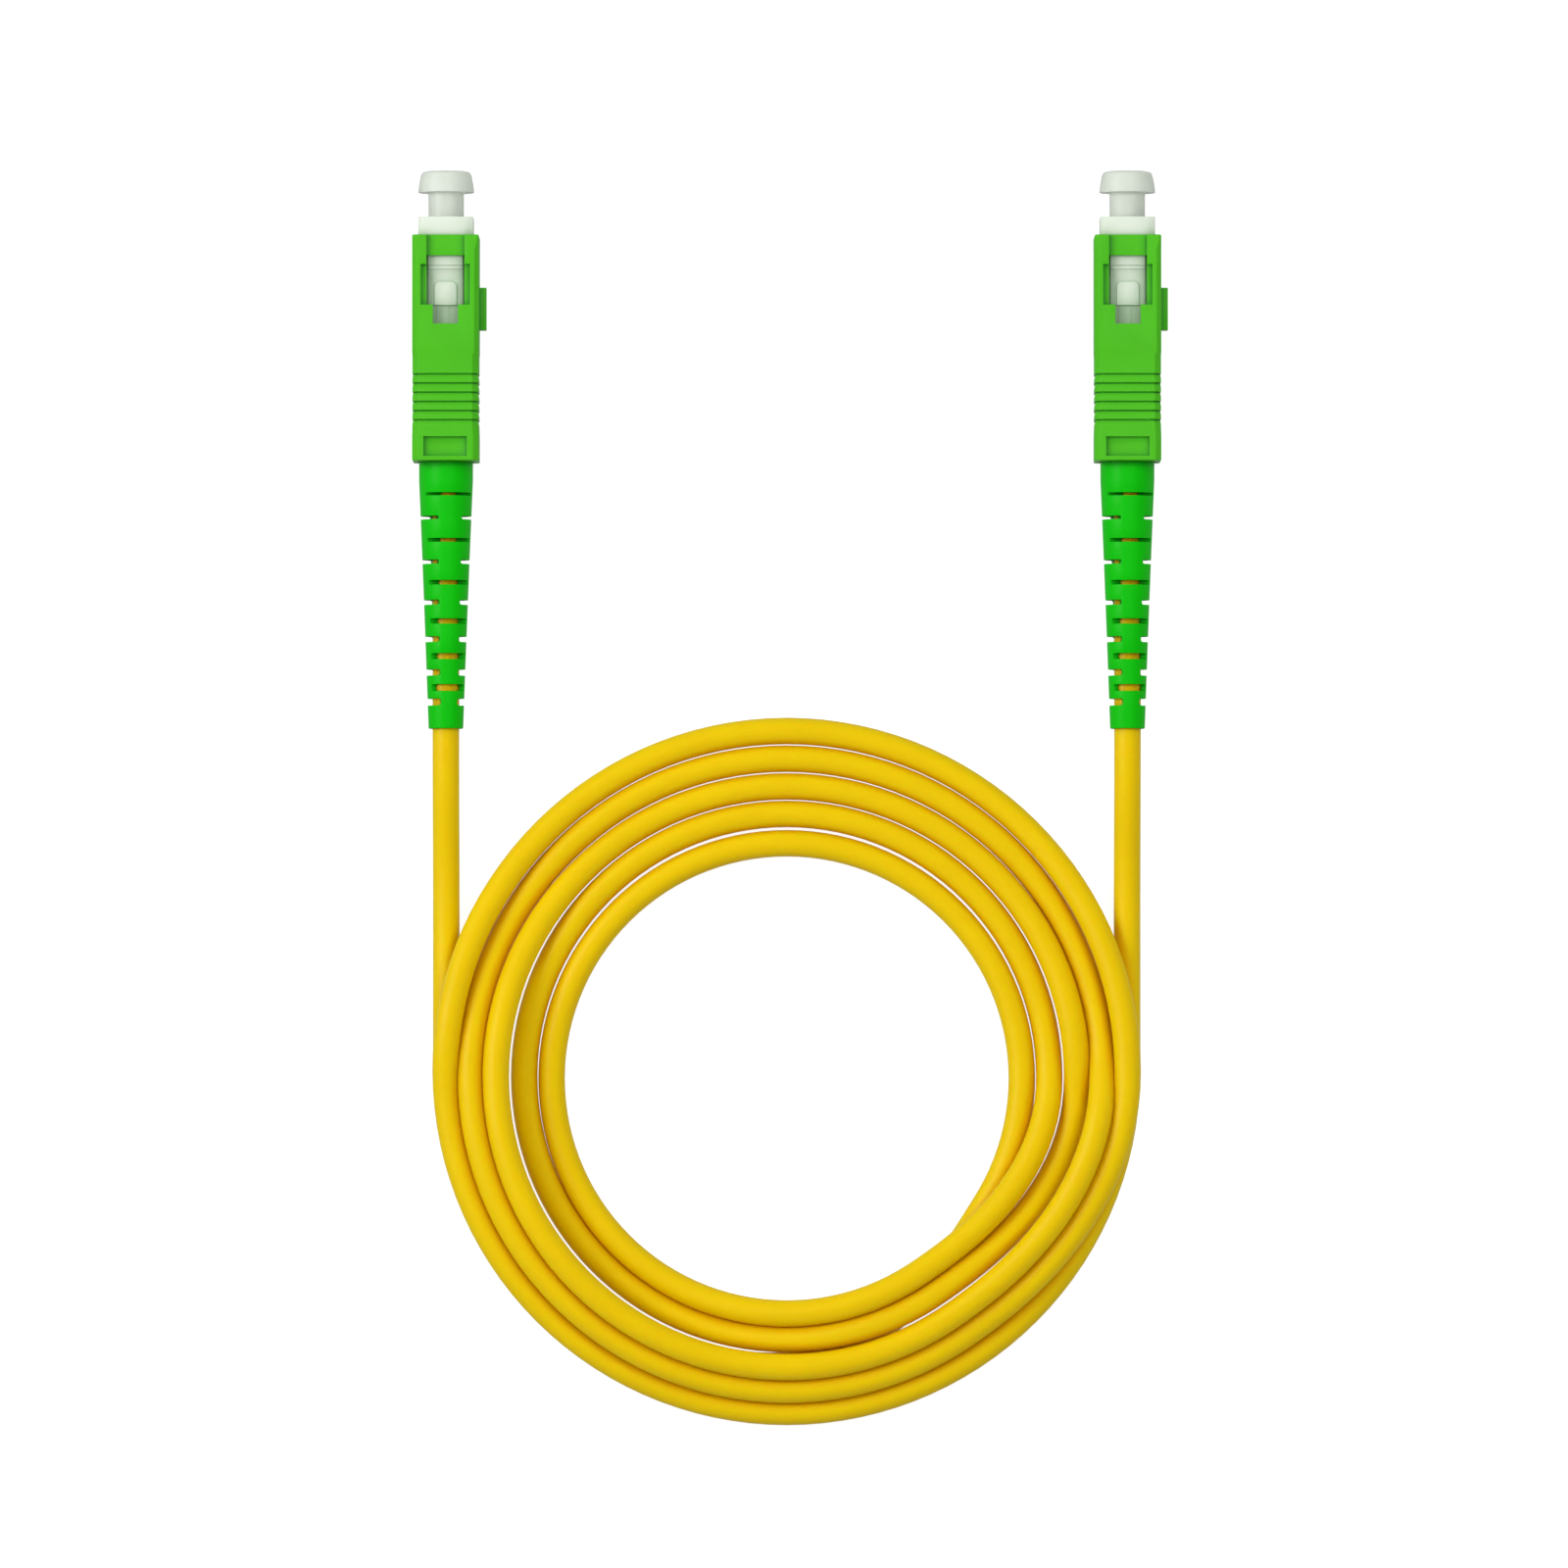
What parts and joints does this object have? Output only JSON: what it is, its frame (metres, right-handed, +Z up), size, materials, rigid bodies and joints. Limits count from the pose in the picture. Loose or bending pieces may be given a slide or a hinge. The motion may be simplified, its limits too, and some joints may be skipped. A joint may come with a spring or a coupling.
{
  "type": "fiber optic patch cord",
  "caption": "Single-fibre patch cord with push-pull plugs, slotted strain relief boots and dust caps, its yellow cord wound in a flat coil.",
  "frame": {"origin": "on the table, under the middle of the box around the two connectors", "axes": "+X from the left connector to the right one, +Y the way the plugs point, +Z up from the table"},
  "size_m": [0.084, 0.1396, 0.009],
  "materials": {
    "clear_cap": "translucent low-density polyethylene, moulded",
    "green_grip": "green moulded polymer, satin",
    "off_white_frame": "off-white moulded polymer, satin",
    "zirconia": "polished zirconia",
    "nickelled_brass": "nickel-plated turned brass",
    "spring_steel": "stainless spring wire",
    "crimp_metal": "crimped aluminium alloy",
    "aramid_yarn": "bundled yarn",
    "white_buffer": "extruded buffer",
    "yellow_jacket": "extruded PVC jacket",
    "green_boot": "moulded thermoplastic rubber"
  },
  "bodies": {
    "root": {"left_plug_frame": "off_white_frame", "left_ferrule_spring": "spring_steel", "left_stop_body": "nickelled_brass", "left_crimp_sleeve": "crimp_metal", "left_aramid_yarn": "aramid_yarn", "left_cord_jacket_end": "yellow_jacket", "left_boot": "green_boot", "right_plug_frame": "off_white_frame", "right_ferrule_spring": "spring_steel", "right_stop_body": "nickelled_brass", "right_crimp_sleeve": "crimp_metal", "right_aramid_yarn": "aramid_yarn", "right_cord_jacket_end": "yellow_jacket", "right_boot": "green_boot", "left_lead": "yellow_jacket", "coil": "yellow_jacket", "right_lead": "yellow_jacket"},
    "left_grip": {"left_grip_housing": "green_grip"},
    "left_float": {"left_ferrule": "zirconia", "left_ferrule_flange": "nickelled_brass", "left_buffered_fibre": "white_buffer"},
    "left_cap": {"left_dust_cap": "clear_cap"},
    "right_grip": {"right_grip_housing": "green_grip"},
    "right_float": {"right_ferrule": "zirconia", "right_ferrule_flange": "nickelled_brass", "right_buffered_fibre": "white_buffer"},
    "right_cap": {"right_dust_cap": "clear_cap"}
  },
  "joints": [
    {"name": "left_grip_slide", "type": "slide", "parent": "root", "child": "left_grip", "axis": [0, -1, 0], "range_m": [0, 0.0018]},
    {"name": "left_ferrule_float", "type": "slide", "parent": "root", "child": "left_float", "axis": [0, -1, 0], "range_m": [0, 0.001], "stiffness_N_per_m": 1500, "deforming": ["left_ferrule_spring"]},
    {"name": "left_cap_pull", "type": "slide", "parent": "root", "child": "left_cap", "axis": [0, 1, 0], "range_m": [0, 0.012]},
    {"name": "right_grip_slide", "type": "slide", "parent": "root", "child": "right_grip", "axis": [0, -1, 0], "range_m": [0, 0.0018]},
    {"name": "right_ferrule_float", "type": "slide", "parent": "root", "child": "right_float", "axis": [0, -1, 0], "range_m": [0, 0.001], "stiffness_N_per_m": 1500, "deforming": ["right_ferrule_spring"]},
    {"name": "right_cap_pull", "type": "slide", "parent": "root", "child": "right_cap", "axis": [0, 1, 0], "range_m": [0, 0.012]}
  ]
}
